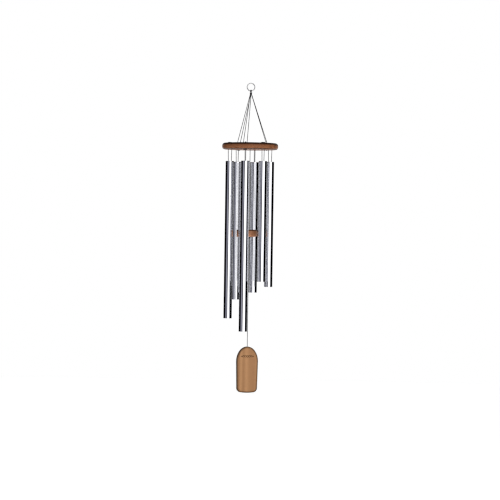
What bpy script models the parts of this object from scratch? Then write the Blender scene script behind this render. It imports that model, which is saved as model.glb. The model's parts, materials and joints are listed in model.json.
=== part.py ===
"""Wind chime: a steel ring, three suspension cords, a round wooden canopy, six tuned
aluminium tubes on cord loops, and a wooden striker and sail on the centre cord.

Metres, +Z up. The origin is where a hook bears on the inside of the hanging ring.
Places round the canopy are given by an angle in plan, from the front (-Y) towards +X.
Every moving piece hangs under an empty that stands on its joint's axis.
"""

import math

import bmesh
import bpy
from mathutils import Matrix

GAP = 0.0003  # clearance between neighbouring pieces
CORD = 0.00075  # cord radius
CORD_BEND = 0.0016  # radius of a cord's turn at the mouth of a hole
CORD_HOLE = 0.0015  # radius of a hole that one strand goes through

# Hanging ring, upright in the XZ plane
RING_WIRE = 0.0014
RING_RADIUS = 0.0112  # to the middle of the wire
RING_CENTRE_Z = RING_WIRE - RING_RADIUS
RING_FOOT_Z = RING_CENTRE_Z - RING_RADIUS

# The hitch round the ring's foot, and the knot that gathers the suspension cords
HITCH_CLEARANCE = 0.0007  # from the ring's wire to the cord
HITCH_RADIUS = RING_WIRE + HITCH_CLEARANCE + CORD
HITCH_TURNS = 2.5
HITCH_PITCH = 2 * CORD + GAP
KNOT_TOP_Z = RING_FOOT_Z - HITCH_RADIUS - CORD - GAP
KNOT_RADIUS = 0.0036
KNOT_HEIGHT = 0.0063
KNOT_END_RADIUS = 0.0027  # of the knot's flat ends
STRAND_SPREAD = 0.0023  # from the axis to each strand, where it leaves the knot

# Canopy
CANOPY_RADIUS = 0.0825
CANOPY_THICKNESS = 0.019
CANOPY_EDGE = 0.0075  # radius of the rounded edge
CANOPY_TOP_Z = -0.175
CANOPY_FOOT_Z = CANOPY_TOP_Z - CANOPY_THICKNESS
SUSPENSION_ANGLES = (103, 223, 343)
SUSPENSION_CIRCLE = 0.050
SUSPENSION_HALF_PITCH = 0.0057  # half the distance between the two holes of one cord

# Tubes, longest first. The lengths give the notes: pitch goes with 1 / length squared.
LONGEST_TUBE = 0.500
TUBES = (  # (pitch over the lowest tube's, angle in plan)
    (1, -13),
    (7 / 6, -78),
    (3 / 2, 219),
    (5 / 3, 167),
    (11 / 6, 102),
    (2, 39),
)
TUBE_CIRCLE = 0.0605
TUBE_RADIUS = 0.0127
TUBE_WALL = 0.00165
TUBE_DROP = 0.035  # from the canopy to the top of a tube
TUBE_NODE = 0.224  # a tube is held at this share of its length, where it doesn't vibrate
TUBE_CORD_HALF_PITCH = 0.0053
PIN_RADIUS = 0.00125

# Striker, on the centre cord
CENTRE_HOLE = 0.0030
CENTRE_POCKET = 0.0046  # radius of the pocket for the knot
CENTRE_POCKET_DEPTH = 0.0065
CENTRE_KNOT = 0.0037
CENTRE_KNOT_DEPTH = 0.0040  # from the canopy's top to the middle of the knot
CENTRE_KNOT_Z = CANOPY_TOP_Z - CENTRE_KNOT_DEPTH
STRIKER_Z = -0.4406
STRIKER_RADIUS = 0.023
STRIKER_THICKNESS = 0.021
STRIKER_EDGE = 0.0045
STRIKER_HOLE = 0.00125
STRIKER_KNOT = 0.0026
STRIKER_KNOT_Z = STRIKER_Z - STRIKER_THICKNESS / 2 - GAP - STRIKER_KNOT

# Sail, on the lower end of the centre cord. Its own axes: X across, Y through, Z up.
SAIL_TOP_Z = -0.7748
SAIL_YAW = 15
SAIL_HEIGHT = 0.1362
SAIL_HALF_WIDTH = 0.0325
SAIL_FOOT_HALF_WIDTH = 0.0308
SAIL_THICKNESS = 0.010
SAIL_DOME = 0.044  # height of the half ellipse at the top
SAIL_CORNER = 0.013
SAIL_BOTTOM_RISE = 0.0012  # how far the bottom edge curves up to its corners
SAIL_CHAMFER = 0.0015
SAIL_KNOT = 0.0022
SAIL_KNOT_DEPTH = 0.012  # from the top edge to the knot
SAIL_POCKET = 0.0034  # radius of the pocket for the knot, drilled from the back


def clear_scene():
    for old in list(bpy.data.objects):
        bpy.data.objects.remove(old, do_unlink=True)


def finish_of(name, colour, roughness, metallic=0.0):
    material = bpy.data.materials.new(name)
    material.use_nodes = True
    shader = material.node_tree.nodes["Principled BSDF"]
    shader.inputs["Base Color"].default_value = (*colour, 1)
    shader.inputs["Roughness"].default_value = roughness
    shader.inputs["Metallic"].default_value = metallic
    return material


def empty(name, location, parent=None, turn=0.0):
    """An empty on a joint's axis. The turn is about Z, in degrees."""
    holder = bpy.data.objects.new(name, None)
    holder.empty_display_size = 0.01
    return placed(holder, parent, location, turn)


def placed(obj, parent, location=(0, 0, 0), turn=0.0):
    bpy.context.scene.collection.objects.link(obj)
    obj.parent = parent
    obj.location = location
    obj.rotation_euler.z = math.radians(turn)
    return obj


def mesh_object(name, bm, material):
    bmesh.ops.recalc_face_normals(bm, faces=bm.faces)
    mesh = bpy.data.meshes.new(name)
    bm.to_mesh(mesh)
    bm.free()
    mesh.shade_smooth()
    mesh.set_sharp_from_angle(angle=math.radians(35))
    if material:
        mesh.materials.append(material)
    return bpy.data.objects.new(name, mesh)


def turned(name, profile, segments, material=None, hollow=False):
    """A profile of (radius, height) points, turned about Z. A hollow one closes on itself."""
    bm = bmesh.new()
    rings = []
    for radius, height in profile:
        count = segments if radius else 1
        angles = [2 * math.pi * i / count for i in range(count)]
        points = [(radius * math.cos(a), radius * math.sin(a), height) for a in angles]
        rings.append([bm.verts.new(point) for point in points])
    for upper, lower in zip(rings, rings[1:] + rings[:1] * hollow):
        for i in range(segments):
            left, right = i, (i + 1) % segments
            corners = [(upper, left), (upper, right), (lower, right), (lower, left)]
            bm.faces.new(dict.fromkeys(ring[at % len(ring)] for ring, at in corners))
    return mesh_object(name, bm, material)


def arc(across, up, radius, start, end, steps=4):
    """Points on a circle about (across, up), from one angle to the other in degrees."""
    angles = [math.radians(start + (end - start) * i / steps) for i in range(steps + 1)]
    return [(across + radius * math.cos(a), up + radius * math.sin(a)) for a in angles]


def ball(name, radius, material, segments=16):
    profile = [(0, radius), *arc(0, 0, radius, 67.5, -67.5, 6), (0, -radius)]
    return turned(name, profile, segments, material)


def cord(name, points, material, radius=CORD, closed=False):
    curve = bpy.data.curves.new(name, "CURVE")
    curve.dimensions = "3D"
    curve.bevel_depth = radius
    curve.bevel_resolution = 2
    curve.use_fill_caps = not closed
    spline = curve.splines.new("POLY")
    spline.points.add(len(points) - 1)
    for knot, point in zip(spline.points, points):
        knot.co = (*point, 1)
    spline.use_cyclic_u = closed
    curve.materials.append(material)
    return bpy.data.objects.new(name, curve)


def cut(obj, cutter):
    cutter.hide_render = True
    cutter.display_type = "WIRE"
    boolean = obj.modifiers.new("cut_" + cutter.name, "BOOLEAN")
    boolean.operation = "DIFFERENCE"
    boolean.solver = "EXACT"
    boolean.object = cutter


def drill(name, radius, length, segments=12):
    """A cutter that stands on Z, with its middle at its origin."""
    half = length / 2
    return turned(name, [(0, half), (radius, half), (radius, -half), (0, -half)], segments)


def in_plan(angle, radius):
    """X and Y of a place round the canopy."""
    return radius * math.sin(math.radians(angle)), -radius * math.cos(math.radians(angle))


def facing(angle):
    """The turn about Z that points an object's own +X outwards at a place round the canopy."""
    return angle - 90


def tube_length(pitch):
    return LONGEST_TUBE / math.sqrt(pitch)


def pin_depth(pitch):
    """From the canopy's underside to the pin in a tube."""
    return TUBE_DROP + TUBE_NODE * tube_length(pitch)


def make_ring(steel):
    circle = arc(0, RING_CENTRE_Z, RING_RADIUS, 0, 360, 32)[:-1]
    ring = cord("hanging_ring", [(x, 0, z) for x, z in circle], steel, RING_WIRE, closed=True)
    placed(ring, None)


def make_hitch(yarn, parent):
    """A cord wound round the ring's foot, about the X axis. Its own origin is the ring's centre."""
    steps = round(HITCH_TURNS * 10)
    start = -HITCH_TURNS * HITCH_PITCH / 2
    points = []
    for i in range(steps + 1):
        a = 2 * math.pi * HITCH_TURNS * i / steps
        along = start + HITCH_PITCH * HITCH_TURNS * i / steps
        points.append((along, HITCH_RADIUS * math.sin(a), -RING_RADIUS - HITCH_RADIUS * math.cos(a)))
    placed(cord("ring_hitch", points, yarn), parent)


def make_gather_knot(yarn, parent):
    half = KNOT_HEIGHT / 2
    upper = [(0, half), (KNOT_END_RADIUS, half), (KNOT_RADIUS, half / 2)]
    profile = upper + [(radius, -height) for radius, height in reversed(upper)]
    placed(turned("gather_knot", profile, 16, yarn), parent, (0, 0, KNOT_TOP_Z - half - RING_FOOT_Z))


def make_suspension_cords(yarn, parent):
    """Each goes from the knot down one hole, along under the canopy and up the next hole."""
    knot_foot = KNOT_TOP_Z - KNOT_HEIGHT - GAP
    run = CANOPY_FOOT_Z - GAP - CORD
    bend = SUSPENSION_HALF_PITCH - CORD_BEND
    start = (STRAND_SPREAD * math.cos(math.pi / 6), STRAND_SPREAD * math.sin(math.pi / 6))
    for number, angle in enumerate(SUSPENSION_ANGLES, 1):
        half = [
            (start[0], start[1], knot_foot),
            (SUSPENSION_CIRCLE, SUSPENSION_HALF_PITCH, CANOPY_TOP_Z),
            *[(SUSPENSION_CIRCLE, y, z) for y, z in arc(bend, run + CORD_BEND, CORD_BEND, 0, -90)],
        ]
        points = half + [(x, -y, z) for x, y, z in reversed(half)]
        loop = cord(f"suspension_cord_{number}", [(x, y, z - RING_FOOT_Z) for x, y, z in points], yarn)
        placed(loop, parent, turn=facing(angle))


def canopy_profile():
    half = CANOPY_THICKNESS / 2
    straight = half - CANOPY_EDGE
    rim = CANOPY_RADIUS - CANOPY_EDGE
    upper = arc(rim, straight, CANOPY_EDGE, 90, 0, 4)
    lower = arc(rim, -straight, CANOPY_EDGE, 0, -90, 4)
    return [(0, half), *upper, *lower, (0, -half)]


def cord_holes():
    """(angle, radius) of every hole that a strand of cord goes through."""
    offset = math.degrees(math.atan2(SUSPENSION_HALF_PITCH, SUSPENSION_CIRCLE))
    reach = math.hypot(SUSPENSION_HALF_PITCH, SUSPENSION_CIRCLE)
    holes = [(angle + side * offset, reach) for angle in SUSPENSION_ANGLES for side in (-1, 1)]
    for _, angle in TUBES:
        holes += [(angle, TUBE_CIRCLE + side * TUBE_CORD_HALF_PITCH) for side in (-1, 1)]
    return holes


def cord_hole_cutter():
    """All the drills for strands of cord, as one cutter."""
    bm = bmesh.new()
    for angle, radius in cord_holes():
        place = Matrix.Translation((*in_plan(angle, radius), 0))
        bmesh.ops.create_cone(
            bm,
            cap_ends=True,
            segments=8,
            radius1=CORD_HOLE,
            radius2=CORD_HOLE,
            depth=2 * CANOPY_THICKNESS,
            matrix=place,
        )
    return mesh_object("cord_holes", bm, None)


def make_canopy(wood, parent):
    """Origin in the middle of the disc, with its holes drilled along Z."""
    half = CANOPY_THICKNESS / 2
    height = CANOPY_TOP_Z - half - RING_FOOT_Z
    canopy = placed(turned("canopy", canopy_profile(), 64, wood), parent, (0, 0, height))
    cut(canopy, placed(cord_hole_cutter(), parent, (0, 0, height)))
    floor = half - CENTRE_POCKET_DEPTH
    outside = 2 * half
    pocket = [(0, outside), (CENTRE_POCKET, outside), (CENTRE_POCKET, floor)]
    hole = [(CENTRE_HOLE, floor), (CENTRE_HOLE, -outside), (0, -outside)]
    cut(canopy, placed(turned("centre_hole", pocket + hole, 16), parent, (0, 0, height)))


def make_tube(number, pitch, angle, finishes, canopy_pivot):
    """One tube with its pin and cord. X of the pivot points outwards, along the pair of holes."""
    yarn, metal, steel = finishes["cord"], finishes["aluminium"], finishes["steel"]
    hang = (*in_plan(angle, TUBE_CIRCLE), CANOPY_FOOT_Z - RING_FOOT_Z)
    pivot = empty(f"tube_{number}_hang", hang, canopy_pivot, facing(angle))
    length, depth = tube_length(pitch), pin_depth(pitch)
    pin_axis = empty(f"tube_{number}_pin_axis", (0, 0, -depth), pivot)

    top, foot = depth - TUBE_DROP, depth - TUBE_DROP - length
    inner = TUBE_RADIUS - TUBE_WALL
    walls = [(TUBE_RADIUS, top), (TUBE_RADIUS, foot), (inner, foot), (inner, top)]
    tube = placed(turned(f"tube_{number}", walls, 32, metal, hollow=True), pin_axis)
    pin_hole = drill(f"pin_hole_{number}", PIN_RADIUS + GAP, 3 * TUBE_RADIUS, 8)
    placed(pin_hole, pin_axis).rotation_euler.x = math.radians(90)
    cut(tube, pin_hole)
    pin = drill(f"tube_pin_{number}", PIN_RADIUS, 2 * TUBE_RADIUS)
    pin.data.materials.append(steel)
    placed(pin, pin_axis).rotation_euler.x = math.radians(90)

    turn = PIN_RADIUS + GAP + CORD
    start = -GAP - CORD / 4
    bight = arc(0, -depth, turn, 0, -180, 8)
    strands = [(TUBE_CORD_HALF_PITCH, start), *bight, (-TUBE_CORD_HALF_PITCH, start)]
    placed(cord(f"tube_cord_{number}", [(x, 0, z) for x, z in strands], yarn), pivot)

    bend = TUBE_CORD_HALF_PITCH - CORD_BEND
    height = CANOPY_THICKNESS + GAP + CORD - CORD_BEND
    half = [(TUBE_CORD_HALF_PITCH, -start), *arc(bend, height, CORD_BEND, 0, 90)]
    bridge = half + [(-x, z) for x, z in reversed(half)]
    top_piece = cord(f"tube_cord_top_{number}", [(x, 0, z) for x, z in bridge], yarn)
    placed(top_piece, canopy_pivot, hang, facing(angle))


def make_striker(finishes, canopy_pivot):
    """The centre knot, and the striker with its cord. Both swing about the middle of the knot."""
    yarn, wood = finishes["cord"], finishes["pale_wood"]
    pivot = empty("striker_pivot", (0, 0, CENTRE_KNOT_Z - RING_FOOT_Z), canopy_pivot)
    placed(ball("centre_knot", CENTRE_KNOT, yarn), pivot)
    middle = STRIKER_Z - CENTRE_KNOT_Z
    half = STRIKER_THICKNESS / 2
    ends = (-CENTRE_KNOT - GAP, middle - half)
    placed(cord("striker_cord", [(0, 0, z) for z in ends], yarn), pivot)
    rim, straight = STRIKER_RADIUS - STRIKER_EDGE, half - STRIKER_EDGE
    upper = arc(rim, straight, STRIKER_EDGE, 90, 0, 3)
    lower = arc(rim, -straight, STRIKER_EDGE, 0, -90, 3)
    profile = [(STRIKER_HOLE, half), *upper, *lower, (STRIKER_HOLE, -half)]
    placed(turned("striker", profile, 40, wood, hollow=True), pivot, (0, 0, middle))
    return pivot


def sail_outline():
    """(across, up) points round the sail, with the top of its dome at zero."""
    shoulder = -SAIL_DOME
    angles = [math.radians(180 * i / 18) for i in range(19)]
    dome = [(SAIL_HALF_WIDTH * math.cos(a), shoulder + SAIL_DOME * math.sin(a)) for a in angles]
    corner = SAIL_FOOT_HALF_WIDTH - SAIL_CORNER
    corner_z = -SAIL_HEIGHT + SAIL_BOTTOM_RISE + SAIL_CORNER
    left = arc(-corner, corner_z, SAIL_CORNER, 180, 270, 5)
    right = arc(corner, corner_z, SAIL_CORNER, 270, 360, 5)
    return [*dome, *left, (0, -SAIL_HEIGHT), *right]


def make_sail(finishes, striker_pivot):
    """The knot under the striker, the sail's cord with its end and knot, and the sail."""
    yarn, wood = finishes["cord"], finishes["pale_wood"]
    knot_pivot = empty("striker_knot_pivot", (0, 0, STRIKER_KNOT_Z - CENTRE_KNOT_Z), striker_pivot)
    placed(ball("striker_knot", STRIKER_KNOT, yarn), knot_pivot)
    drop = SAIL_TOP_Z - STRIKER_KNOT_Z
    ends = (-STRIKER_KNOT - GAP, drop + GAP)
    placed(cord("sail_cord", [(0, 0, z) for z in ends], yarn), knot_pivot)

    sail_pivot = empty("sail_pivot", (0, 0, drop), knot_pivot, SAIL_YAW)
    knot_z = -SAIL_KNOT_DEPTH
    tail = (-GAP / 2, knot_z + SAIL_KNOT + GAP)
    placed(cord("sail_cord_end", [(0, 0, z) for z in tail], yarn), sail_pivot)
    placed(ball("sail_knot", SAIL_KNOT, yarn), sail_pivot, (0, 0, knot_z))

    bm = bmesh.new()
    half = SAIL_THICKNESS / 2
    front = bm.faces.new([bm.verts.new((x, -half, z)) for x, z in sail_outline()])
    back = bmesh.ops.extrude_face_region(bm, geom=[front])
    moved = [item for item in back["geom"] if isinstance(item, bmesh.types.BMVert)]
    bmesh.ops.translate(bm, verts=moved, vec=(0, SAIL_THICKNESS, 0))
    sail = placed(mesh_object("sail", bm, wood), sail_pivot)
    chamfer = sail.modifiers.new("chamfer", "BEVEL")
    chamfer.width = SAIL_CHAMFER
    chamfer.segments = 1
    chamfer.limit_method = "ANGLE"
    chamfer.angle_limit = math.radians(60)
    bore = drill("sail_bore", CORD_HOLE, 2 * SAIL_KNOT_DEPTH, 12)
    cut(sail, placed(bore, sail_pivot))
    pocket_floor = -SAIL_KNOT - 2 * GAP
    pocket_length = SAIL_THICKNESS - pocket_floor
    pocket = drill("sail_pocket", SAIL_POCKET, pocket_length, 16)
    placed(pocket, sail_pivot, (0, pocket_floor + pocket_length / 2, knot_z))
    pocket.rotation_euler.x = math.radians(90)
    cut(sail, pocket)


def make_chime():
    finishes = {
        "steel": finish_of("steel", (0.62, 0.62, 0.64), 0.25, 1.0),
        "cord": finish_of("cord", (0.045, 0.045, 0.05), 0.8),
        "dark_wood": finish_of("dark_wood", (0.155, 0.062, 0.032), 0.38),
        "pale_wood": finish_of("pale_wood", (0.45, 0.225, 0.10), 0.42),
        "aluminium": finish_of("aluminium", (0.86, 0.87, 0.89), 0.09, 1.0),
    }
    make_ring(finishes["steel"])
    ring_centre = empty("ring_centre", (0, 0, RING_CENTRE_Z))
    make_hitch(finishes["cord"], ring_centre)
    canopy_pivot = empty("canopy_pivot", (0, 0, -RING_RADIUS), ring_centre)
    make_gather_knot(finishes["cord"], canopy_pivot)
    make_suspension_cords(finishes["cord"], canopy_pivot)
    make_canopy(finishes["dark_wood"], canopy_pivot)
    for number, (pitch, angle) in enumerate(TUBES, 1):
        make_tube(number, pitch, angle, finishes, canopy_pivot)
    make_sail(finishes, make_striker(finishes, canopy_pivot))


clear_scene()
make_chime()
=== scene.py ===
import json
import math

import bmesh
import bpy
from mathutils import Matrix, Vector


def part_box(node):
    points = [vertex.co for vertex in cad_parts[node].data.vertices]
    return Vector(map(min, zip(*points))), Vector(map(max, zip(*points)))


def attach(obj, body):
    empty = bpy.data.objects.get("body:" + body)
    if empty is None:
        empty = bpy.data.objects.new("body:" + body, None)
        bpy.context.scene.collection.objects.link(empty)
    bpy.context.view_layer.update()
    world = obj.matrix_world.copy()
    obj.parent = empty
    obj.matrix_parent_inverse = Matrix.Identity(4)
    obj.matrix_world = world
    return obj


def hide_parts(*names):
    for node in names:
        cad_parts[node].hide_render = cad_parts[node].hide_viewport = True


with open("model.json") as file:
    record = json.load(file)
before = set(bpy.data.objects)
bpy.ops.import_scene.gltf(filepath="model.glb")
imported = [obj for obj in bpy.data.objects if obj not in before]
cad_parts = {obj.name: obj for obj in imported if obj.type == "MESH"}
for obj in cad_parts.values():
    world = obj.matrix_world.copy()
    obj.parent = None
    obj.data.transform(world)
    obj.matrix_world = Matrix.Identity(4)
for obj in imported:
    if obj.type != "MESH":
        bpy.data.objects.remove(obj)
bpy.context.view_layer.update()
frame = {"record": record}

# Looks of the wind chime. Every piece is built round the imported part: places come from its nodes.
# Metres, +Z up, the viewer looks along +Y. Each cord and knot is a braided tube along its own line.

BODY_OF = {
    node: body
    for body, nodes in frame["record"]["behaviour"]["bodies"].items()
    for node in nodes
}

GAP = 0.0003  # clearance between neighbouring pieces

# cords and knots
CORD = 0.0009  # cord radius, out to the crowns of its yarns
CORD_BEND = 0.0016  # radius of a cord's turn at the mouth of a hole
CORD_STEP = 0.00038  # between the cross sections of a cord that shows
HIDDEN_STEP = 0.0012  # and of one inside a tube
BRAID_PITCH = 0.0016  # along the cord, from one crossing of the braid to the next
BRAID_DEPTH = 0.13
KNOT_STEPS = 160
LOOP_JOIN = 0.005  # above the canopy's foot, where a tube's loop meets its bridge
SEEN_DEPTH = 0.012  # below a tube's top, down to where its cord shows
STRAND_SPREAD = 0.0023  # from the axis to each strand, where it leaves the knot
TUBE_CORD_HALF_PITCH = 0.0053
SUSPENSION_HALF_PITCH = 0.0057
SUSPENSION_CIRCLE = 0.050
SUSPENSION_ANGLES = (103, 223, 343)
TIE = 0.0022  # radius of the knot over the canopy that closes a tube's cord
TIE_FLATNESS = 0.10  # its height over its radius
TIE_LIFT = 1.35  # from the gap over the canopy to its middle, in radii of the cord
TIE_SHIFT = 0.0004  # how far a tie lies off the middle of its bridge
TIE_TURN = 50  # from one tie to the next
TIE_TAIL = ((0.0006, 0.0), (0.0020, 0.0014), (0.0036, 0.0021), (0.0058, 0.0024))  # (outwards, across)
TAIL_DROOP = (0.0, 0.0, 0.0002, 0.0003)

# hanging ring
RING_WIRE = 0.0014
HITCH_TURNS = 2.5
WELD_ANGLE = 205
WELD_WIDTH = 0.0011
WELD_HEIGHT = 0.13  # of the wire's radius

# canopy
CANOPY_EDGE = 0.0075
CANOPY_MARGIN = 0.0006  # a narrow ring of faces that keeps the shading of the flat sides flat
CORD_HOLE = 0.0015
CENTRE_HOLE = 0.0030
CENTRE_POCKET = 0.0046
CENTRE_POCKET_DEPTH = 0.0065
HOLE_EASE = 0.00045  # the width of a hole's broken edge

# tubes
TUBE_WALL = 0.00165
TUBE_RIM = 0.00035  # radius of a tube's eased edges
TUBE_ROWS = 24  # of faces along a tube
PIN_RADIUS = 0.00125
PIN_EASE = 0.0003
PIN_CLEARING = 0.004  # no row ends within this distance of the cross hole

# striker
STRIKER_EDGE = 0.0045
STRIKER_HOLE = 0.00125
STRIKER_EASE = 0.0004

# sail
SAIL_YAW = 15
SAIL_THICKNESS = 0.010
SAIL_HALF_WIDTH = 0.0325
SAIL_FOOT_HALF_WIDTH = 0.0308
SAIL_DOME = 0.044
SAIL_CORNER = 0.013
SAIL_BOTTOM_RISE = 0.0012
SAIL_EDGE = 0.0016
SAIL_MARGIN = 0.0005  # a narrow ring of faces, as on the canopy
SAIL_EDGE_SHADE = 0.0060  # how far the painted shade reaches in from the edge
SAIL_POCKET = 0.0034
SAIL_KNOT = 0.0022
SAIL_CORD_IN_KNOT = 0.0006  # how far the sail's cord runs on into its knot
WAVE_Z = -0.0285  # from the sail's top to the ornament
WAVE_REACH = 0.0195
WAVE_HEIGHT = 0.0030
WAVE_COUNT = 3
WAVE_STEPS = 240
GROOVE = 0.0007  # radius of the groove
GROOVE_LIFT = 0.0001  # its middle lies this far outside the face


# ---------------------------------------------------------------- node helpers


def node(tree, kind, inputs=None, **settings):
    """A shader node. An input is a number or colour, or a socket to link."""
    made = tree.nodes.new(kind)
    for key, value in settings.items():
        setattr(made, key, value)
    for key, value in (inputs or {}).items():
        if isinstance(value, bpy.types.NodeSocket):
            tree.links.new(value, made.inputs[key])
        else:
            made.inputs[key].default_value = value
    return made


def ramp(tree, factor, stops):
    """A colour ramp through (place, grey or colour) stops."""
    made = node(tree, "ShaderNodeValToRGB", {"Fac": factor})
    elements = made.color_ramp.elements
    while len(elements) < len(stops):
        elements.new(0.5)
    for element, (place, colour) in zip(elements, stops):
        element.position = place
        element.color = (*colour, 1) if hasattr(colour, "__len__") else (colour,) * 3 + (1,)
    return made.outputs["Color"]


def maths(tree, operation, first, second=0.0, clamp=False):
    made = node(tree, "ShaderNodeMath", {0: first, 1: second}, operation=operation)
    made.use_clamp = clamp
    return made.outputs[0]


def times(tree, value, share):
    return maths(tree, "MULTIPLY", value, share)


def plus(tree, first, second, clamp=False):
    return maths(tree, "ADD", first, second, clamp)


def mixed(tree, factor, first, second, blend="MIX"):
    made = node(tree, "ShaderNodeMix", data_type="RGBA", blend_type=blend)
    for socket, value in zip((made.inputs[0], made.inputs[6], made.inputs[7]), (factor, first, second)):
        if isinstance(value, bpy.types.NodeSocket):
            tree.links.new(value, socket)
        else:
            socket.default_value = (*value, 1) if hasattr(value, "__len__") else value
    return made.outputs[2]


def scaled(tree, vector, scale, location=(0, 0, 0), rotation=(0, 0, 0)):
    turn = [math.radians(a) for a in rotation]
    inputs = {"Vector": vector, "Scale": scale, "Location": location, "Rotation": turn}
    return node(tree, "ShaderNodeMapping", inputs).outputs["Vector"]


def noise(tree, vector, scale, detail=3.0, roughness=0.5, distortion=0.0):
    inputs = {"Vector": vector, "Scale": scale, "Detail": detail}
    inputs |= {"Roughness": roughness, "Distortion": distortion}
    return node(tree, "ShaderNodeTexNoise", inputs).outputs["Fac"]


def ranged(tree, value, low, high, to_low, to_high):
    inputs = {"Value": value, "From Min": low, "From Max": high, "To Min": to_low, "To Max": to_high}
    return node(tree, "ShaderNodeMapRange", inputs).outputs["Result"]


def new_material(name, **values):
    """(material, tree, shader). Values that are the same all over sit on the shader's own sockets."""
    material = bpy.data.materials.new(name)
    material.use_nodes = True
    tree = material.node_tree
    shader = tree.nodes["Principled BSDF"]
    for key, value in values.items():
        shader.inputs[key.replace("_", " ")].default_value = value
    return material, tree, shader


def bumped(tree, shader, height, strength, distance):
    bump = node(tree, "ShaderNodeBump", {"Height": height, "Strength": strength, "Distance": distance})
    tree.links.new(bump.outputs["Normal"], shader.inputs["Normal"])


def wood(name, tones, rotation, pith, ring_width, pore_tone, shade_tone, roughness, coat):
    """Wood sawn from one block: growth rings, fibres, pores, and painted shade that darkens it towards the
    shade tone, as much as each point's edge amount says.

    Tones run from dark to light. The rotation brings the grain onto X. Pith is where the middle
    of the trunk lies, and ring_width is the width of a year's growth, both in millimetres.
    """
    values = {"Coat_Weight": coat, "Coat_Roughness": 0.25, "Specular_IOR_Level": 0.16}
    material, tree, shader = new_material(name, **values)
    place = node(tree, "ShaderNodeTexCoord").outputs["Object"]
    turned_place = scaled(tree, place, (1000, 1000, 1000), rotation=rotation)
    board = scaled(tree, turned_place, (0.035, 1, 1), location=pith)
    rings = node(
        tree,
        "ShaderNodeTexWave",
        {
            "Vector": board,
            "Scale": 0.314 / ring_width,
            "Distortion": 5.5,
            "Detail": 3.0,
            "Detail Scale": 0.18,
            "Detail Roughness": 0.55,
        },
        wave_type="RINGS",
        rings_direction="X",
    ).outputs["Fac"]
    figure = noise(tree, board, 0.055, detail=2.0)
    fibres = noise(tree, scaled(tree, turned_place, (0.09, 1.6, 1.6)), 1.0, detail=4.0, roughness=0.62)
    pores = noise(tree, scaled(tree, turned_place, (0.16, 3.2, 3.2)), 1.0, detail=2.0, roughness=0.5)
    pore_mask = ramp(tree, pores, [(0.60, 0.0), (0.70, 1.0)])
    grown = plus(tree, times(tree, rings, 0.42), times(tree, figure, 0.48))
    total = plus(tree, grown, times(tree, fibres, 0.24), clamp=True)
    places = [0.25 + 0.55 * i / (len(tones) - 1) for i in range(len(tones))]
    colour = ramp(tree, total, list(zip(places, tones)))
    colour = mixed(tree, times(tree, pore_mask, 0.35), colour, pore_tone)
    # painted shade: each point's edge amount darkens the colour towards the shade tone, a little patchy along
    # the fibres
    edge = node(tree, "ShaderNodeAttribute", attribute_name="edge").outputs["Fac"]
    patchy_shade = times(tree, edge, ranged(tree, fibres, 0.3, 0.7, 0.82, 1.0))
    colour = mixed(tree, patchy_shade, colour, shade_tone)
    tree.links.new(colour, shader.inputs["Base Color"])
    worn = ranged(tree, figure, 0.3, 0.7, roughness - 0.07, roughness + 0.07)
    rough = plus(tree, worn, times(tree, pore_mask, 0.15))
    tree.links.new(rough, shader.inputs["Roughness"])
    height = maths(tree, "SUBTRACT", times(tree, fibres, 0.4), times(tree, pore_mask, 0.6))
    bumped(tree, shader, height, 0.35, 0.00012)
    return material


def metal(name, colour, grain, low, high, bump, smudge=0.05):
    """Drawn or polished metal: fine lines along its length, faint handling marks.

    Grain is the lines' scale along X, Y and Z. Low and high are the limits of the roughness.
    """
    material, tree, shader = new_material(name, Metallic=1.0)
    place = node(tree, "ShaderNodeTexCoord").outputs["Object"]
    lines = noise(tree, scaled(tree, place, grain), 1.0, detail=3.0, roughness=0.6)
    marks = noise(tree, place, 42.0, detail=4.0, roughness=0.6, distortion=0.4)
    tone = ranged(tree, lines, 0.3, 0.7, 0.94, 1.0)
    grey = node(tree, "ShaderNodeCombineColor", {0: tone, 1: tone, 2: tone}).outputs[0]
    shaded = mixed(tree, 1.0, colour, grey, "MULTIPLY")
    tree.links.new(shaded, shader.inputs["Base Color"])
    rough = ranged(tree, lines, 0.3, 0.7, low, high)
    touched = times(tree, ramp(tree, marks, [(0.52, 0.0), (0.72, 1.0)]), smudge)
    tree.links.new(plus(tree, rough, touched), shader.inputs["Roughness"])
    bumped(tree, shader, lines, bump, 0.00002)
    return material


def braid(name, dark, light):
    """Braided polyester cord: fine fibre streaks, a dull sheen."""
    values = {"Sheen_Weight": 0.08, "Sheen_Roughness": 0.4, "Specular_IOR_Level": 0.2}
    material, tree, shader = new_material(name, **values)
    place = node(tree, "ShaderNodeTexCoord").outputs["Object"]
    fibres = noise(tree, place, 2600.0, detail=2.0, roughness=0.7)
    soiled = noise(tree, place, 60.0, detail=3.0)
    amount = plus(tree, times(tree, fibres, 0.7), times(tree, soiled, 0.3))
    tree.links.new(ramp(tree, amount, [(0.30, dark), (0.70, light)]), shader.inputs["Base Color"])
    tree.links.new(ranged(tree, soiled, 0.3, 0.7, 0.62, 0.82), shader.inputs["Roughness"])
    bumped(tree, shader, fibres, 0.5, 0.00008)
    return material


def burnt(name):
    """The scorched floor of the engraved lines."""
    material, tree, shader = new_material(name, Specular_IOR_Level=0.2)
    place = node(tree, "ShaderNodeTexCoord").outputs["Object"]
    char = noise(tree, place, 900.0, detail=4.0, roughness=0.65)
    tones = [(0.3, (0.060, 0.028, 0.012)), (0.7, (0.170, 0.085, 0.036))]
    tree.links.new(ramp(tree, char, tones), shader.inputs["Base Color"])
    tree.links.new(ranged(tree, char, 0.3, 0.7, 0.6, 0.85), shader.inputs["Roughness"])
    bumped(tree, shader, char, 0.5, 0.0001)
    return material


# ---------------------------------------------------------------- mesh helpers


def mesh_object(name, points, faces, sharp=40):
    mesh = bpy.data.meshes.new(name)
    mesh.from_pydata([tuple(p) for p in points], [], faces)
    mesh.validate()
    made = bpy.data.objects.new(name, mesh)
    bpy.context.scene.collection.objects.link(made)
    return eased(made, sharp)


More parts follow.
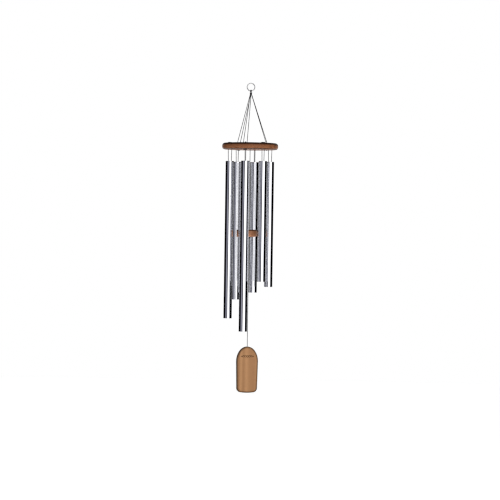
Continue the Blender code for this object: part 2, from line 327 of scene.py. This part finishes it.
def eased(made, sharp=40):
    """Smooth shading, with the real corners kept, and every face turned outwards."""
    bm = bmesh.new()
    bm.from_mesh(made.data)
    bmesh.ops.recalc_face_normals(bm, faces=bm.faces)
    bm.to_mesh(made.data)
    bm.free()
    made.data.shade_smooth()
    made.data.set_sharp_from_angle(angle=math.radians(sharp))
    return made


def skin(name, rings, cyclic=False, sharp=40):
    """A surface through rings of points. An open one is closed by a face at each end."""
    count = len(rings[0])
    points = [p for ring in rings for p in ring]
    faces = []
    for row in range(len(rings) - (not cyclic)):
        here, there = row * count, (row + 1) % len(rings) * count
        for i in range(count):
            j = (i + 1) % count
            faces.append((here + i, here + j, there + j, there + i))
    if not cyclic:
        faces.append(tuple(range(count))[::-1])
        faces.append(tuple(range(len(points) - count, len(points))))
    return mesh_object(name, points, faces, sharp)


def turned(name, profile, segments, hollow=False, sharp=40):
    """A profile of (radius, height) points turned about Z. A hollow one closes on itself."""
    angles = [2 * math.pi * i / segments for i in range(segments)]
    rings = [[(r * math.cos(a), r * math.sin(a), z) for a in angles] for r, z in profile]
    return skin(name, rings, cyclic=hollow, sharp=sharp)


def arc(across, up, radius, start, end, steps):
    angles = [math.radians(start + (end - start) * i / steps) for i in range(steps + 1)]
    return [(across + radius * math.cos(a), up + radius * math.sin(a)) for a in angles]


def evenly(points, step, closed=False):
    """Points a fixed step apart along a line through the given ones."""
    points = [Vector(p) for p in points]
    if closed:
        points.append(points[0])
    runs = [(b - a).length for a, b in zip(points, points[1:])]
    count = max(2, round(sum(runs) / step))
    found, at, passed = [], 0, 0.0
    for i in range(count + (not closed)):
        wanted = sum(runs) * i / count
        while at < len(runs) - 1 and passed + runs[at] < wanted:
            passed += runs[at]
            at += 1
        share = (wanted - passed) / runs[at] if runs[at] else 0
        found.append(points[at].lerp(points[at + 1], min(1, share)))
    return found


def swept(name, points, radius_at, step, sides, closed=False, sharp=70):
    """A tube along a line. radius_at(angle, distance) gives its radius."""
    line = evenly(points, step, closed)
    count = len(line)
    rings, across = [], None
    for i, point in enumerate(line):
        before = line[i - 1] if i or closed else point
        after = line[(i + 1) % count] if i < count - 1 or closed else point
        along = (after - before).normalized()
        if across is None:
            across = along.orthogonal().normalized()
        across = (across - along * across.dot(along)).normalized()
        up = along.cross(across)
        ring = []
        for k in range(sides):
            a = 2 * math.pi * k / sides
            reach = radius_at(a, i * step)
            ring.append(point + across * (reach * math.cos(a)) + up * (reach * math.sin(a)))
        rings.append(ring)
    return skin(name, rings, cyclic=closed, sharp=sharp)


def braided(radius):
    """Eight yarns that cross over and under round the cord."""

    def reach(angle, distance):
        lay = 2 * math.pi * distance / BRAID_PITCH
        crossing = max(math.cos(4 * angle + lay), math.cos(4 * angle - lay))
        return radius * (1 - BRAID_DEPTH / 2 + BRAID_DEPTH / 2 * crossing)

    return reach


def cord(name, points, step=CORD_STEP, radius=CORD, closed=False):
    sides = 16 if step < HIDDEN_STEP else 10
    made = swept(name, points, braided(radius), step, sides, closed)
    made.data.materials.append(FINISH["cord"])
    return made


def knot(name, centre, size, height=0.9, turn=0.0, radius=CORD):
    """A pulled-up overhand knot: a trefoil line squeezed into a ball whose radius is its size."""
    spread = (size - radius) / 3
    points = []
    for i in range(KNOT_STEPS):
        t = 2 * math.pi * i / KNOT_STEPS
        x = math.sin(t) + 2 * math.sin(2 * t)
        y = math.cos(t) - 2 * math.cos(2 * t)
        lift = -(size - radius) * height * math.sin(3 * t)
        across = Matrix.Rotation(turn, 3, "Z") @ Vector((x * spread, y * spread, lift))
        points.append(Vector(centre) + across)
    return cord(name, points, closed=True, radius=radius)


def joined(name, pieces):
    """Several meshes as one object, each still closed."""
    bm = bmesh.new()
    finishes = list(pieces[0].data.materials)
    for piece in pieces:
        bm.from_mesh(piece.data)
    mesh = bpy.data.meshes.new(name)
    bm.to_mesh(mesh)
    bm.free()
    for finish in finishes:
        mesh.materials.append(finish)
    for piece in pieces:
        bpy.data.objects.remove(piece)
    made = bpy.data.objects.new(name, mesh)
    bpy.context.scene.collection.objects.link(made)
    return made


def carve(obj, cutters):
    """Cuts the cutters away for good, and removes them. Cut faces keep the cutter's own finish."""
    for cutter in cutters:
        boolean = obj.modifiers.new("cut", "BOOLEAN")
        boolean.operation = "DIFFERENCE"
        boolean.solver = "EXACT"
        boolean.material_mode = "TRANSFER"
        boolean.object = cutter
    bpy.context.view_layer.update()
    graph = bpy.context.evaluated_depsgraph_get()
    mesh = bpy.data.meshes.new_from_object(obj.evaluated_get(graph))
    obj.modifiers.clear()
    obj.data = mesh
    for cutter in cutters:
        bpy.data.objects.remove(cutter)


def level_faces(obj):
    """Large flat faces keep flat shading right up to their rounded edges."""
    weighted = obj.modifiers.new("weighted", "WEIGHTED_NORMAL")
    weighted.keep_sharp = True
    weighted.weight = 80
    return obj


def fade(value, start, gain, most=1.0):
    """0 up to the start, then rising to its most."""
    return min(most, gain * max(0.0, value - start))


def marked(obj, amount_at):
    """Stores how much painted shade each point gets, from 0 to 1, for wood()."""
    attribute = obj.data.attributes.new("edge", "FLOAT", "POINT")
    attribute.data.foreach_set("value", [amount_at(v.co) for v in obj.data.vertices])


def drill(name, radius, length, place, finish, segments):
    """A cutter along Z that a matrix brings to its place, with the finish that the bore gets."""
    half = length / 2
    made = turned(name, [(radius, -half), (radius, half)], segments)
    made.data.transform(place)
    made.data.materials.append(FINISH[finish])
    return made


def stands_for(piece, slot, *nodes):
    """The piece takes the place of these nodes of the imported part, on their body."""
    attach(piece, BODY_OF[nodes[0]])
    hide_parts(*nodes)


def middle_of(name):
    low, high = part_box(name)
    return (low + high) / 2


def in_plan(angle, radius):
    return Vector((radius * math.sin(math.radians(angle)), -radius * math.cos(math.radians(angle)), 0))


def outward(angle):
    """Brings X onto the direction away from the axis, at a place round the canopy."""
    return Matrix.Rotation(math.radians(angle - 90), 4, "Z")


# ---------------------------------------------------------------- finishes

FINISH = {
    "steel": metal("bright_steel", (0.86, 0.86, 0.87), (500, 500, 500), 0.14, 0.26, 0.25),
    "cord": braid("charcoal_cord", (0.008, 0.008, 0.010), (0.040, 0.040, 0.044)),
    "aluminium": metal(
        "polished_aluminium", (0.92, 0.925, 0.965), (2200, 2200, 3.0), 0.02, 0.05, 0.005, smudge=0.03
    ),
    "bore": metal("drawn_aluminium", (0.70, 0.71, 0.73), (1400, 1400, 6.0), 0.30, 0.45, 0.5),
    "dark_wood": wood(
        "stained_hardwood",
        [(0.090, 0.036, 0.015), (0.175, 0.063, 0.026), (0.295, 0.104, 0.044), (0.400, 0.162, 0.070)],
        rotation=(0, 0, 8),
        pith=(0, 34, 21),
        ring_width=2.6,
        pore_tone=(0.016, 0.007, 0.005),
        # the colour of the painted shade on the canopy's rounded edge and in its holes
        shade_tone=(0.012, 0.005, 0.004),
        roughness=0.46,
        coat=0.02,
    ),
    "sail_wood": wood(
        "oiled_hardwood",
        [(0.350, 0.172, 0.078), (0.395, 0.200, 0.090), (0.440, 0.228, 0.104), (0.500, 0.262, 0.122)],
        rotation=(0, 90, 0),
        pith=(0, 46, 27),
        ring_width=7.5,
        pore_tone=(0.230, 0.110, 0.050),
        # the colour of the painted shade along the sail's outline
        shade_tone=(0.032, 0.015, 0.006),
        roughness=0.46,
        coat=0.02,
    ),
    "striker_wood": wood(
        "turned_hardwood",
        [(0.400, 0.155, 0.070), (0.530, 0.225, 0.110), (0.620, 0.285, 0.150), (0.690, 0.340, 0.190)],
        rotation=(0, 0, 20),
        pith=(0, 30, 16),
        ring_width=2.8,
        pore_tone=(0.150, 0.065, 0.032),
        # the colour of the painted shade on the striker's rounded edge
        shade_tone=(0.060, 0.022, 0.010),
        roughness=0.42,
        coat=0.04,
    ),
    "burnt": burnt("scorched_line"),
}


# ---------------------------------------------------------------- pieces


def make_ring():
    """A bent wire ring with the small raised bead of its butt weld."""
    low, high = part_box("hanging_ring")
    centre = (low + high) / 2
    radius = (high.z - low.z) / 2 - RING_WIRE
    circle = [(centre.x + x, centre.y, z) for x, z in arc(0, centre.z, radius, 0, 360, 180)[:-1]]
    weld_at = 2 * math.pi * radius * WELD_ANGLE / 360

    def reach(angle, distance):
        off = (distance - weld_at) / WELD_WIDTH
        ripple = 0.012 * math.cos(3 * angle + 2 * off)
        return RING_WIRE * (1 + (WELD_HEIGHT + ripple) * math.exp(-off * off))

    ring = swept("ring_wire", circle, reach, step=0.0004, sides=28, closed=True)
    ring.data.materials.append(FINISH["steel"])
    stands_for(ring, "steel", "hanging_ring")
    return centre, radius


def make_hitch(centre, radius):
    """Turns of cord round the foot of the ring."""
    low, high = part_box("ring_hitch")
    winding = (high.z - low.z) / 2 - CORD
    foot = centre.z - radius
    half = (high.x - low.x) / 2 - CORD
    steps = 120
    points = []
    for i in range(steps + 1):
        share = i / steps
        a = 2 * math.pi * HITCH_TURNS * share
        along = centre.x - half * (1 - 2 * share)
        points.append((along, centre.y + winding * math.sin(a), foot - winding * math.cos(a)))
    stands_for(cord("hitch_turns", points), "cord", "ring_hitch")


def make_gather_knot():
    """Six strands bound by close turns of cord, which fan out below it."""
    low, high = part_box("gather_knot")
    outer = (high.x - low.x) / 2 - CORD
    top, foot = high.z - CORD, low.z + CORD
    turns = (top - foot) / (2.04 * CORD)  # each lies just clear of the next
    steps = round(turns * 36)
    wrap = []
    for i in range(steps + 1):
        a = 2 * math.pi * turns * i / steps
        wrap.append((outer * math.cos(a), outer * math.sin(a), top + (foot - top) * i / steps))
    pieces = [cord("wrap", wrap)]
    for k in range(6):
        a = math.radians(60 * k + 13)
        fan = ((1.36, high.z - 0.0001), (1.36, low.z + 0.0014), (1.75, low.z + 0.0006), (2.05, low.z))
        strand = [(0.001 * r * math.cos(a), 0.001 * r * math.sin(a), z) for r, z in fan]
        pieces.append(cord("strand", strand))
    stands_for(joined("gather_wrap", pieces), "cord", "gather_knot")


def make_suspension():
    """Each cord runs from the knot through one hole, under the canopy, and back up the next."""
    canopy_low, canopy_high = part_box("canopy")
    start_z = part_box("suspension_cord_1")[1].z
    knot_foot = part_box("gather_knot")[0].z
    run = canopy_low.z - GAP - CORD
    bend = SUSPENSION_HALF_PITCH - CORD_BEND
    spread = (STRAND_SPREAD * math.cos(math.pi / 6), STRAND_SPREAD * math.sin(math.pi / 6))
    for number, angle in enumerate(SUSPENSION_ANGLES, 1):
        half = [
            (spread[0], spread[1], min(start_z, knot_foot)),
            (SUSPENSION_CIRCLE, SUSPENSION_HALF_PITCH, canopy_high.z),
            *[(SUSPENSION_CIRCLE, y, z) for y, z in arc(bend, run + CORD_BEND, CORD_BEND, 0, -90, 10)],
        ]
        points = half + [(x, -y, z) for x, y, z in reversed(half)]
        line = cord(f"suspension_line_{number}", [outward(angle) @ Vector(p) for p in points])
        stands_for(line, "cord", f"suspension_cord_{number}")


def tube_places():
    """(number, angle, radius, centre) of every tube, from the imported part."""
    found = []
    for number in range(1, 7):
        centre = middle_of(f"tube_{number}")
        angle = math.degrees(math.atan2(centre.x, -centre.y))
        found.append((number, angle, math.hypot(centre.x, centre.y), centre))
    return found


def broken_edge(radius, half, side):
    """(radius, height) points of a hole's cutter at the canopy's lower (-1) or upper (1) face."""
    steps = [(radius + (1 + out) * HOLE_EASE, side * (half + out * HOLE_EASE)) for out in (-1, 0, 1)]
    return steps[::side]


def canopy_cutter(name, profile, segments, place):
    cutter = turned(name, profile, segments)
    cutter.data.transform(Matrix.Translation(place))
    cutter.data.materials.append(FINISH["dark_wood"])
    return cutter


def make_canopy():
    """A stained disc with a bullnose edge and eased holes."""
    low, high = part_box("canopy")
    half = (high.z - low.z) / 2
    radius = (high.x - low.x) / 2
    middle = (low.z + high.z) / 2
    straight, rim = half - CANOPY_EDGE, radius - CANOPY_EDGE
    upper = arc(rim, straight, CANOPY_EDGE, 90, 0, 20)
    lower = arc(rim, -straight, CANOPY_EDGE, 0, -90, 20)
    flat = rim - CANOPY_MARGIN
    profile = [(flat, half), *upper, *lower, (flat, -half)]
    canopy = turned("canopy_disc", [(r, middle + z) for r, z in profile], segments=224)
    canopy.data.materials.append(FINISH["dark_wood"])

    offset = math.degrees(math.atan2(SUSPENSION_HALF_PITCH, SUSPENSION_CIRCLE))
    reach = math.hypot(SUSPENSION_HALF_PITCH, SUSPENSION_CIRCLE)
    holes = [(angle + side * offset, reach) for angle in SUSPENSION_ANGLES for side in (-1, 1)]
    for _, angle, circle, _ in tube_places():
        holes += [(angle, circle + side * TUBE_CORD_HALF_PITCH) for side in (-1, 1)]
    centre = Vector((0, 0, middle))
    cutters = []
    for angle, distance in holes:
        profile = [*broken_edge(CORD_HOLE, half, -1), *broken_edge(CORD_HOLE, half, 1)]
        cutters.append(canopy_cutter("hole", profile, 28, centre + in_plan(angle, distance)))
    floor = half - CENTRE_POCKET_DEPTH
    step = [(CENTRE_HOLE, floor), (CENTRE_POCKET, floor)]
    pocket = [*broken_edge(CENTRE_HOLE, half, -1), *step, *broken_edge(CENTRE_POCKET, half, 1)]
    cutters.append(canopy_cutter("pocket", pocket, 48, centre))
    carve(canopy, [joined("holes", cutters)])
    eased(canopy, 32)

    def painted_shade_at(point):
        """Painted shade: the rounded edge darkens towards its top and its foot, and the holes are dark
        inside.
        """
        height = (point.z - middle) / half
        if math.hypot(point.x, point.y) > rim:
            return fade(height, 0.12, 2.1) + fade(-height, 0.62, 3.0, 0.85)
        return 0.0 if abs(abs(point.z - middle) - half) < 1e-5 else 0.7

    marked(canopy, painted_shade_at)
    stands_for(level_faces(canopy), "dark_wood", "canopy")


def radial_normals(obj, centre, outer, inner):
    """A polished tube has true radial normals, also round the holes for its pin."""
    mesh = obj.data
    off_wall = 0.00006
    off_level = 0.02
    normals = [tuple(n.vector) for n in mesh.corner_normals]
    for face in mesh.polygons:
        if abs(face.normal.z) > off_level:
            continue
        reach = [(mesh.vertices[i].co - centre).xy.length for i in face.vertices]
        for wall, sign in ((outer, 1), (inner, -1)):
            if all(abs(r - wall) < off_wall for r in reach):
                for loop in face.loop_indices:
                    out = (mesh.vertices[mesh.loops[loop].vertex_index].co - centre).xy.normalized()
                    normals[loop] = (sign * out.x, sign * out.y, 0.0)
    mesh.normals_split_custom_set(normals)


def make_tube_body(number, centre, place):
    """An open tube with eased rims, and the cross hole for its pin at the place. Gives its width."""
    low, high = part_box(f"tube_{number}")
    outer = (high.x - low.x) / 2
    inner = outer - TUBE_WALL
    pin_z = place.translation.z

    levels = {high.z - TUBE_RIM, low.z + TUBE_RIM, pin_z - PIN_CLEARING, pin_z + PIN_CLEARING}
    levels |= {low.z + (high.z - low.z) * i / TUBE_ROWS for i in range(1, TUBE_ROWS)}
    levels = sorted(z for z in levels if not abs(z - pin_z) < PIN_CLEARING - 1e-6)
    wall = [(outer, z) for z in levels]
    rim_top = arc(outer - TUBE_RIM, high.z - TUBE_RIM, TUBE_RIM, 0, 90, 4)[1:]
    rim_top += arc(inner + TUBE_RIM, high.z - TUBE_RIM, TUBE_RIM, 90, 180, 4)[:-1]
    bore = [(inner, z) for z in reversed(levels)]
    rim_foot = arc(inner + TUBE_RIM, low.z + TUBE_RIM, TUBE_RIM, 180, 270, 4)[1:]
    rim_foot += arc(outer - TUBE_RIM, low.z + TUBE_RIM, TUBE_RIM, 270, 360, 4)[:-1]
    tube = turned(f"tube_body_{number}", [*wall, *rim_top, *bore, *rim_foot], segments=128, hollow=True)
    tube.data.materials.append(FINISH["aluminium"])
    tube.data.materials.append(FINISH["bore"])
    for face in tube.data.polygons:
        face.material_index = 1 if face.center.xy.length < inner + TUBE_RIM / 2 else 0
    tube.data.transform(Matrix.Translation((centre.x, centre.y, 0)))
    carve(tube, [drill("cross_hole", PIN_RADIUS + GAP / 2, 3 * outer, place, "bore", 40)])
    tube.data.shade_smooth()
    tube.data.set_sharp_from_angle(angle=math.radians(30))
    radial_normals(tube, centre, outer, inner)
    stands_for(tube, "aluminium", f"tube_{number}")
    return 2 * outer


def make_pin(number, length, place):
    """A rod with rounded ends, in rows of faces so that its shading stays even."""
    ends = [(PIN_RADIUS - PIN_EASE, 0), (PIN_RADIUS - 0.3 * PIN_EASE, 0.3 * PIN_EASE), (PIN_RADIUS, PIN_EASE)]
    profile = [(r, -length / 2 + z) for r, z in ends]
    profile += [(PIN_RADIUS, length * (i / 12 - 0.5)) for i in range(1, 12)]
    profile += [(r, length / 2 - z) for r, z in reversed(ends)]
    pin = turned(f"pin_rod_{number}", profile, segments=40)
    pin.data.transform(place)
    pin.data.materials.append(FINISH["steel"])
    stands_for(pin, "steel", f"tube_pin_{number}")


def make_tube_cord(number, angle, hang, pin_z):
    """The loop from the canopy round the pin, and the bridge over the canopy with its tie."""
    tube_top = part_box(f"tube_{number}")[1].z
    canopy_low, canopy_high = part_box("canopy")
    turn_radius = PIN_RADIUS + GAP + CORD
    inside = canopy_low.z + LOOP_JOIN
    upper_z = tube_top - SEEN_DEPTH
    share = (canopy_low.z - upper_z) / (canopy_low.z - pin_z)
    across = TUBE_CORD_HALF_PITCH + (turn_radius - TUBE_CORD_HALF_PITCH) * share
    parts = []
    for side in (1, -1):
        mouth = side * TUBE_CORD_HALF_PITCH
        strand = [(mouth, inside), (mouth, canopy_low.z), (side * across, upper_z)]
        parts.append(cord("strand", [hang @ Vector((x, 0, z)) for x, z in strand]))
    hidden = [(across, upper_z), *arc(0, pin_z, turn_radius, 0, -180, 20), (-across, upper_z)]
    parts.append(cord("bight", [hang @ Vector((x, 0, z)) for x, z in hidden], HIDDEN_STEP))
    stands_for(joined(f"tube_loop_{number}", parts), "cord", f"tube_cord_{number}")

    bend = TUBE_CORD_HALF_PITCH - CORD_BEND
    height = canopy_high.z + GAP + CORD - CORD_BEND
    half = [(TUBE_CORD_HALF_PITCH, inside), *arc(bend, height, CORD_BEND, 0, 90, 10)]
    bridge = half + [(-x, z) for x, z in reversed(half)]
    parts = [cord("over", [hang @ Vector((x, 0, z)) for x, z in bridge])]
    shift = TIE_SHIFT * (number % 3 - 1)
    knot_at = hang @ Vector((shift, 0, canopy_high.z + GAP + TIE_LIFT * CORD))
    turn = math.radians(TIE_TURN * number)
    parts.append(knot("tie", knot_at, TIE, height=TIE_FLATNESS, turn=turn))
    along = outward(angle).to_3x3()
    for side in (1, -1):
        tail = [Vector((side * x, side * y, -z)) for (x, y), z in zip(TIE_TAIL, TAIL_DROOP)]
        parts.append(cord("tail", [knot_at + along @ point for point in tail]))
    stands_for(joined(f"tube_loop_top_{number}", parts), "cord", f"tube_cord_top_{number}")


def make_tube(number, angle, circle, centre):
    """A tube, its pin and its cord. The circle is the one round the canopy that it hangs from."""
    pin_low, pin_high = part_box(f"tube_pin_{number}")
    pin_z = (pin_low.z + pin_high.z) / 2
    lie_down = outward(angle) @ Matrix.Rotation(math.radians(90), 4, "X")
    place = Matrix.Translation((centre.x, centre.y, pin_z)) @ lie_down
    width = make_tube_body(number, centre, place)
    make_pin(number, width, place)
    hang = Matrix.Translation(in_plan(angle, circle)) @ outward(angle)
    make_tube_cord(number, angle, hang, pin_z)


def make_knotted_line(tie_name, knot_node, line_name, line_node, flatness, below):
    """A knot, and the cord that hangs from it, starting that far below the knot's middle."""
    low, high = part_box(knot_node)
    centre = (low + high) / 2
    tie = knot(tie_name, centre, (high.x - low.x) / 2, height=flatness)
    stands_for(tie, "cord", knot_node)
    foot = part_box(line_node)[0].z
    line = cord(line_name, [(0, 0, centre.z - below), (0, 0, foot)])
    stands_for(line, "cord", line_node)


def make_striker():
    """A turned disc on the centre cord, between the knot in the canopy and the one below it."""
    upper_names = ("centre_tie", "centre_knot", "striker_line", "striker_cord")
    make_knotted_line(*upper_names, flatness=0.62, below=0.0012)

    low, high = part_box("striker")
    half = (high.z - low.z) / 2
    radius = (high.x - low.x) / 2
    middle = (high.z + low.z) / 2
    rim, straight = radius - STRIKER_EDGE, half - STRIKER_EDGE
    upper = [
        (STRIKER_HOLE, half - STRIKER_EASE),
        (STRIKER_HOLE + STRIKER_EASE, half),
        (rim * 0.5, half),
        (rim - STRIKER_EASE, half),
        *arc(rim, straight, STRIKER_EDGE, 90, 0, 16),
    ]
    profile = upper + [(r, -z) for r, z in reversed(upper)]
    striker = turned("striker_disc", [(r, middle + z) for r, z in profile], segments=128, hollow=True)
    striker.data.materials.append(FINISH["striker_wood"])

    def painted_shade_at(point):
        """Painted shade: the rounded edge darkens towards its top, and a little at its foot."""
        if math.hypot(point.x, point.y) < rim:
            return 0.0
        height = (point.z - middle) / half
        return fade(height, 0.45, 3.0, 0.95) + fade(-height, 0.8, 1.5)

    marked(striker, painted_shade_at)
    stands_for(level_faces(striker), "pale_wood", "striker")

    lower_names = ("striker_tie", "striker_knot", "sail_line", "sail_cord")
    make_knotted_line(*lower_names, flatness=0.75, below=0.0006)


def sail_outline(height, inset=0.0):
    """(across, up) points round the sail, the top of its dome at zero, moved in by an inset."""
    dome = []
    dome_steps = 72
    for i in range(dome_steps + 1):
        a = math.pi * i / dome_steps
        point = Vector((SAIL_HALF_WIDTH * math.cos(a), -SAIL_DOME + SAIL_DOME * math.sin(a)))
        normal = Vector((math.cos(a) / SAIL_HALF_WIDTH, math.sin(a) / SAIL_DOME)).normalized()
        dome.append(point - normal * inset)
    corner = SAIL_FOOT_HALF_WIDTH - SAIL_CORNER
    corner_z = -height + SAIL_BOTTOM_RISE + SAIL_CORNER
    round_corner = SAIL_CORNER - inset
    left = [Vector(p) for p in arc(-corner, corner_z, round_corner, 180, 268, 16)]
    right = [Vector(p) for p in arc(corner, corner_z, round_corner, 272, 360, 16)]
    foot = []
    foot_steps = 20
    for i in range(1, foot_steps):
        x = -corner + 2 * corner * i / foot_steps
        foot.append(Vector((x, -height + inset + SAIL_BOTTOM_RISE * (x / corner) ** 2)))
    side_steps = 12
    down = [dome[-1].lerp(left[0], i / side_steps) for i in range(1, side_steps)]
    up = [right[-1].lerp(dome[0], i / side_steps) for i in range(1, side_steps)]
    return [*dome, *down, *left, *foot, *right, *up]


def sail_board(height):
    """The board with rounded edges, its face towards -Y and the top of its dome at zero."""
    half = SAIL_THICKNESS / 2
    rings = []
    edge_steps = 8
    for i in range(edge_steps + 1):
        a = math.radians(90 * i / edge_steps)
        inset = SAIL_EDGE * (1 - math.sin(a))
        y = -half + SAIL_EDGE * (1 - math.cos(a))
        rings.append([(p.x, y, p.y) for p in sail_outline(height, inset)])
    for inset in (SAIL_EDGE + SAIL_MARGIN, SAIL_EDGE_SHADE):
        rings.insert(0, [(p.x, -half, p.y) for p in sail_outline(height, inset)])
    rings += [[(x, -y, z) for x, y, z in ring] for ring in reversed(rings)]
    sail = skin("sail_board", rings)
    sail.data.materials.append(FINISH["sail_wood"])
    return sail


def wave_grooves():
    """Two waves that cross, cut along the face as an ornament."""
    grooves = []
    for side in (-1, 1):
        points = []
        for i in range(WAVE_STEPS + 1):
            across = 2 * i / WAVE_STEPS - 1
            wave = (1 - across**4) * math.cos(math.pi * WAVE_COUNT * across)
            swell = side * WAVE_HEIGHT * wave
            points.append((WAVE_REACH * across, -SAIL_THICKNESS / 2 - GROOVE_LIFT, WAVE_Z + swell))
        groove = swept("groove", points, lambda angle, distance: GROOVE, step=0.0004, sides=14)
        groove.data.materials.append(FINISH["burnt"])
        grooves.append(groove)
    return grooves


def edge_shade_of(height):
    """How much painted shade a point gets: strongest at the sail's outline."""
    border = [Vector((p.x, 0, p.y)) for p in sail_outline(height)]
    border_pairs = list(zip(border, border[1:] + border[:1]))

    def painted_shade_at(point):
        flat = Vector((point.x, 0, point.z))
        if min((p - flat).length for p in border) > 3 * SAIL_EDGE_SHADE:
            return 0.0
        nearest = SAIL_EDGE_SHADE
        for start, end in border_pairs:
            share = (flat - start).dot(end - start) / (end - start).length_squared
            nearest = min(nearest, (flat - start.lerp(end, max(0, min(1, share)))).length)
        return 0.98 * (1 - nearest / SAIL_EDGE_SHADE) ** 0.5

    return painted_shade_at


def make_sail():
    """The carved board, with a bore for its cord and a pocket at the back for the knot."""
    low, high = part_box("sail")
    top, height = high.z, high.z - low.z
    sail = sail_board(height)
    knot_low, knot_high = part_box("sail_knot")
    knot_z = (knot_low.z + knot_high.z) / 2 - top
    bore = drill("bore", CORD_HOLE, 2 * abs(knot_z), Matrix.Identity(4), "sail_wood", 32)
    pocket_floor = -SAIL_KNOT - 2 * GAP
    pocket_length = SAIL_THICKNESS - pocket_floor
    lie_down = Matrix.Rotation(math.radians(90), 4, "X")
    place = Matrix.Translation((0, pocket_floor + pocket_length / 2, knot_z)) @ lie_down
    pocket = drill("pocket", SAIL_POCKET, pocket_length, place, "sail_wood", 48)
    carve(sail, [bore, pocket, *wave_grooves()])
    eased(sail, 32)
    # painted shade along the sail's outline
    marked(sail, edge_shade_of(height))
    yaw = Matrix.Rotation(math.radians(SAIL_YAW), 4, "Z")
    sail.data.transform(Matrix.Translation((0, 0, top)) @ yaw)
    stands_for(level_faces(sail), "pale_wood", "sail")

    low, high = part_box("sail_cord_end")
    tail = cord("sail_tail_cord", [(0, 0, high.z), (0, 0, low.z - SAIL_CORD_IN_KNOT)])
    stands_for(tail, "cord", "sail_cord_end")
    centre = (knot_low + knot_high) / 2
    tie = knot("sail_tie", centre, (knot_high.x - knot_low.x) / 2, height=0.8, radius=CORD * 0.9)
    stands_for(tie, "cord", "sail_knot")


make_hitch(*make_ring())
make_gather_knot()
make_suspension()
make_canopy()
for tube_number, tube_angle, tube_circle, tube_centre in tube_places():
    make_tube(tube_number, tube_angle, tube_circle, tube_centre)
make_striker()
make_sail()


# ---------------------------------------------------------------- studio


FLOOR_TOP = -1.30
FLOOR_RADIUS = 9.0
FLOOR_THICKNESS = 0.02

# The studio's walls: (degrees from the viewer's direction towards +X, brightness).
# Mirror rays see SKY: a bright flat beside the viewer, a grey one to the left, dark gaps, and
# white behind the chime. All other rays see SOFT, which has no hard edges.
SKY = (
    (-180, 0.95),
    (-150, 0.95),
    (-145, 0.0),
    (-80, 0.0),
    (-74, (0.035, 0.035, 0.045)),
    (-56, (0.06, 0.06, 0.08)),
    (-50, (0.32, 0.32, 0.37)),
    (-32, (0.38, 0.38, 0.43)),
    (-27, 0.0),
    (-11, 0.0),
    (-6, 1.4),
    (50, 1.4),
    (55, 0.0),
    (140, 0.0),
    (145, 0.95),
    (180, 0.95),
)
SOFT = (
    (-180, 0.20),
    (-110, 0.05),
    (-62, 0.12),
    (-25, 0.52),
    (40, 0.66),
    (75, 0.15),
    (110, 0.05),
    (180, 0.20),
)
OVERHEAD = ((0.20, 1.0), (0.50, 0.12), (1.0, 0.05))  # (upward part of the direction, share)
LAMPS = (  # (name, place, point that it faces, width and height, watts)
    ("key", (1.5, -2.6, -0.55), (0, 0, -0.45), (1.6, 1.8), 26),
    ("fill", (-2.4, -2.2, -0.8), (0, 0, -0.45), (1.6, 1.8), 9),
    ("top", (0.3, -0.4, 1.6), (0, 0, -0.2), (1.2, 1.2), 9),
)

CAMERA_PLACE = (0.004, -8.0, -0.490)
CAMERA_LENS = 195.3
CAMERA_ROLL = -0.85  # the photograph leans
PIXEL_FILTER = 1.3  # in pixels, a little crisper than Blender's 1.5


def make_floor():
    """A pale round floor, well below the hanging sail."""
    rim = [(FLOOR_RADIUS, FLOOR_TOP), (FLOOR_RADIUS, FLOOR_TOP - FLOOR_THICKNESS)]
    floor = turned("floor", rim, segments=96)
    material, _, shader = new_material("pale_floor", Roughness=0.9)
    shader.inputs["Base Color"].default_value = (0.80, 0.80, 0.80, 1)
    shader.inputs["Emission Color"].default_value = (1, 1, 1, 1)
    shader.inputs["Emission Strength"].default_value = 0.95
    floor.data.materials.append(material)
    floor.visible_glossy = False


def around(tree, factor, stops):
    """A ramp round the horizon, from stops in degrees."""
    return ramp(tree, factor, [(degrees / 360 + 0.5, value) for degrees, value in stops])


def make_studio():
    """White to the camera, SKY to mirror rays and SOFT to the rest, both dimmer overhead."""
    world = bpy.data.worlds.new("studio")
    bpy.context.scene.world = world
    world.use_nodes = True
    tree = world.node_tree
    tree.nodes.clear()
    direction = node(tree, "ShaderNodeTexCoord").outputs["Generated"]
    split = node(tree, "ShaderNodeSeparateXYZ", {0: direction}).outputs
    azimuth = maths(tree, "ARCTAN2", split[0], times(tree, split[1], -1.0))
    factor = plus(tree, maths(tree, "DIVIDE", azimuth, 2 * math.pi), 0.5)
    path = node(tree, "ShaderNodeLightPath").outputs
    walls = mixed(tree, path["Is Glossy Ray"], around(tree, factor, SOFT), around(tree, factor, SKY))
    light = mixed(tree, 1.0, walls, ramp(tree, split[2], OVERHEAD), "MULTIPLY")
    shown = mixed(tree, path["Is Camera Ray"], light, (1.0, 1.0, 1.0))
    background = node(tree, "ShaderNodeBackground", {"Color": shown, "Strength": 1.0})
    out = node(tree, "ShaderNodeOutputWorld")
    tree.links.new(background.outputs[0], out.inputs[0])


def make_lamp(name, place, target, size, power):
    light = bpy.data.lights.new(name, "AREA")
    light.shape = "RECTANGLE"
    light.size, light.size_y = size
    light.energy = power
    lamp = bpy.data.objects.new(name, light)
    bpy.context.scene.collection.objects.link(lamp)
    lamp.location = place
    lamp.rotation_euler = (Vector(target) - Vector(place)).to_track_quat("-Z", "Y").to_euler()
    lamp.visible_glossy = False
    lamp.visible_camera = False


def make_camera():
    camera = bpy.data.cameras.new("camera")
    camera.sensor_width = 36
    camera.lens = CAMERA_LENS
    camera.clip_end = 100
    holder = bpy.data.objects.new("camera", camera)
    bpy.context.scene.collection.objects.link(holder)
    holder.location = CAMERA_PLACE
    holder.rotation_euler = (math.radians(90), math.radians(CAMERA_ROLL), 0)
    bpy.context.scene.camera = holder


make_floor()
make_studio()
for lamp_values in LAMPS:
    make_lamp(*lamp_values)
make_camera()
bpy.context.scene.view_settings.view_transform = "Standard"
bpy.context.scene.cycles.filter_width = PIXEL_FILTER
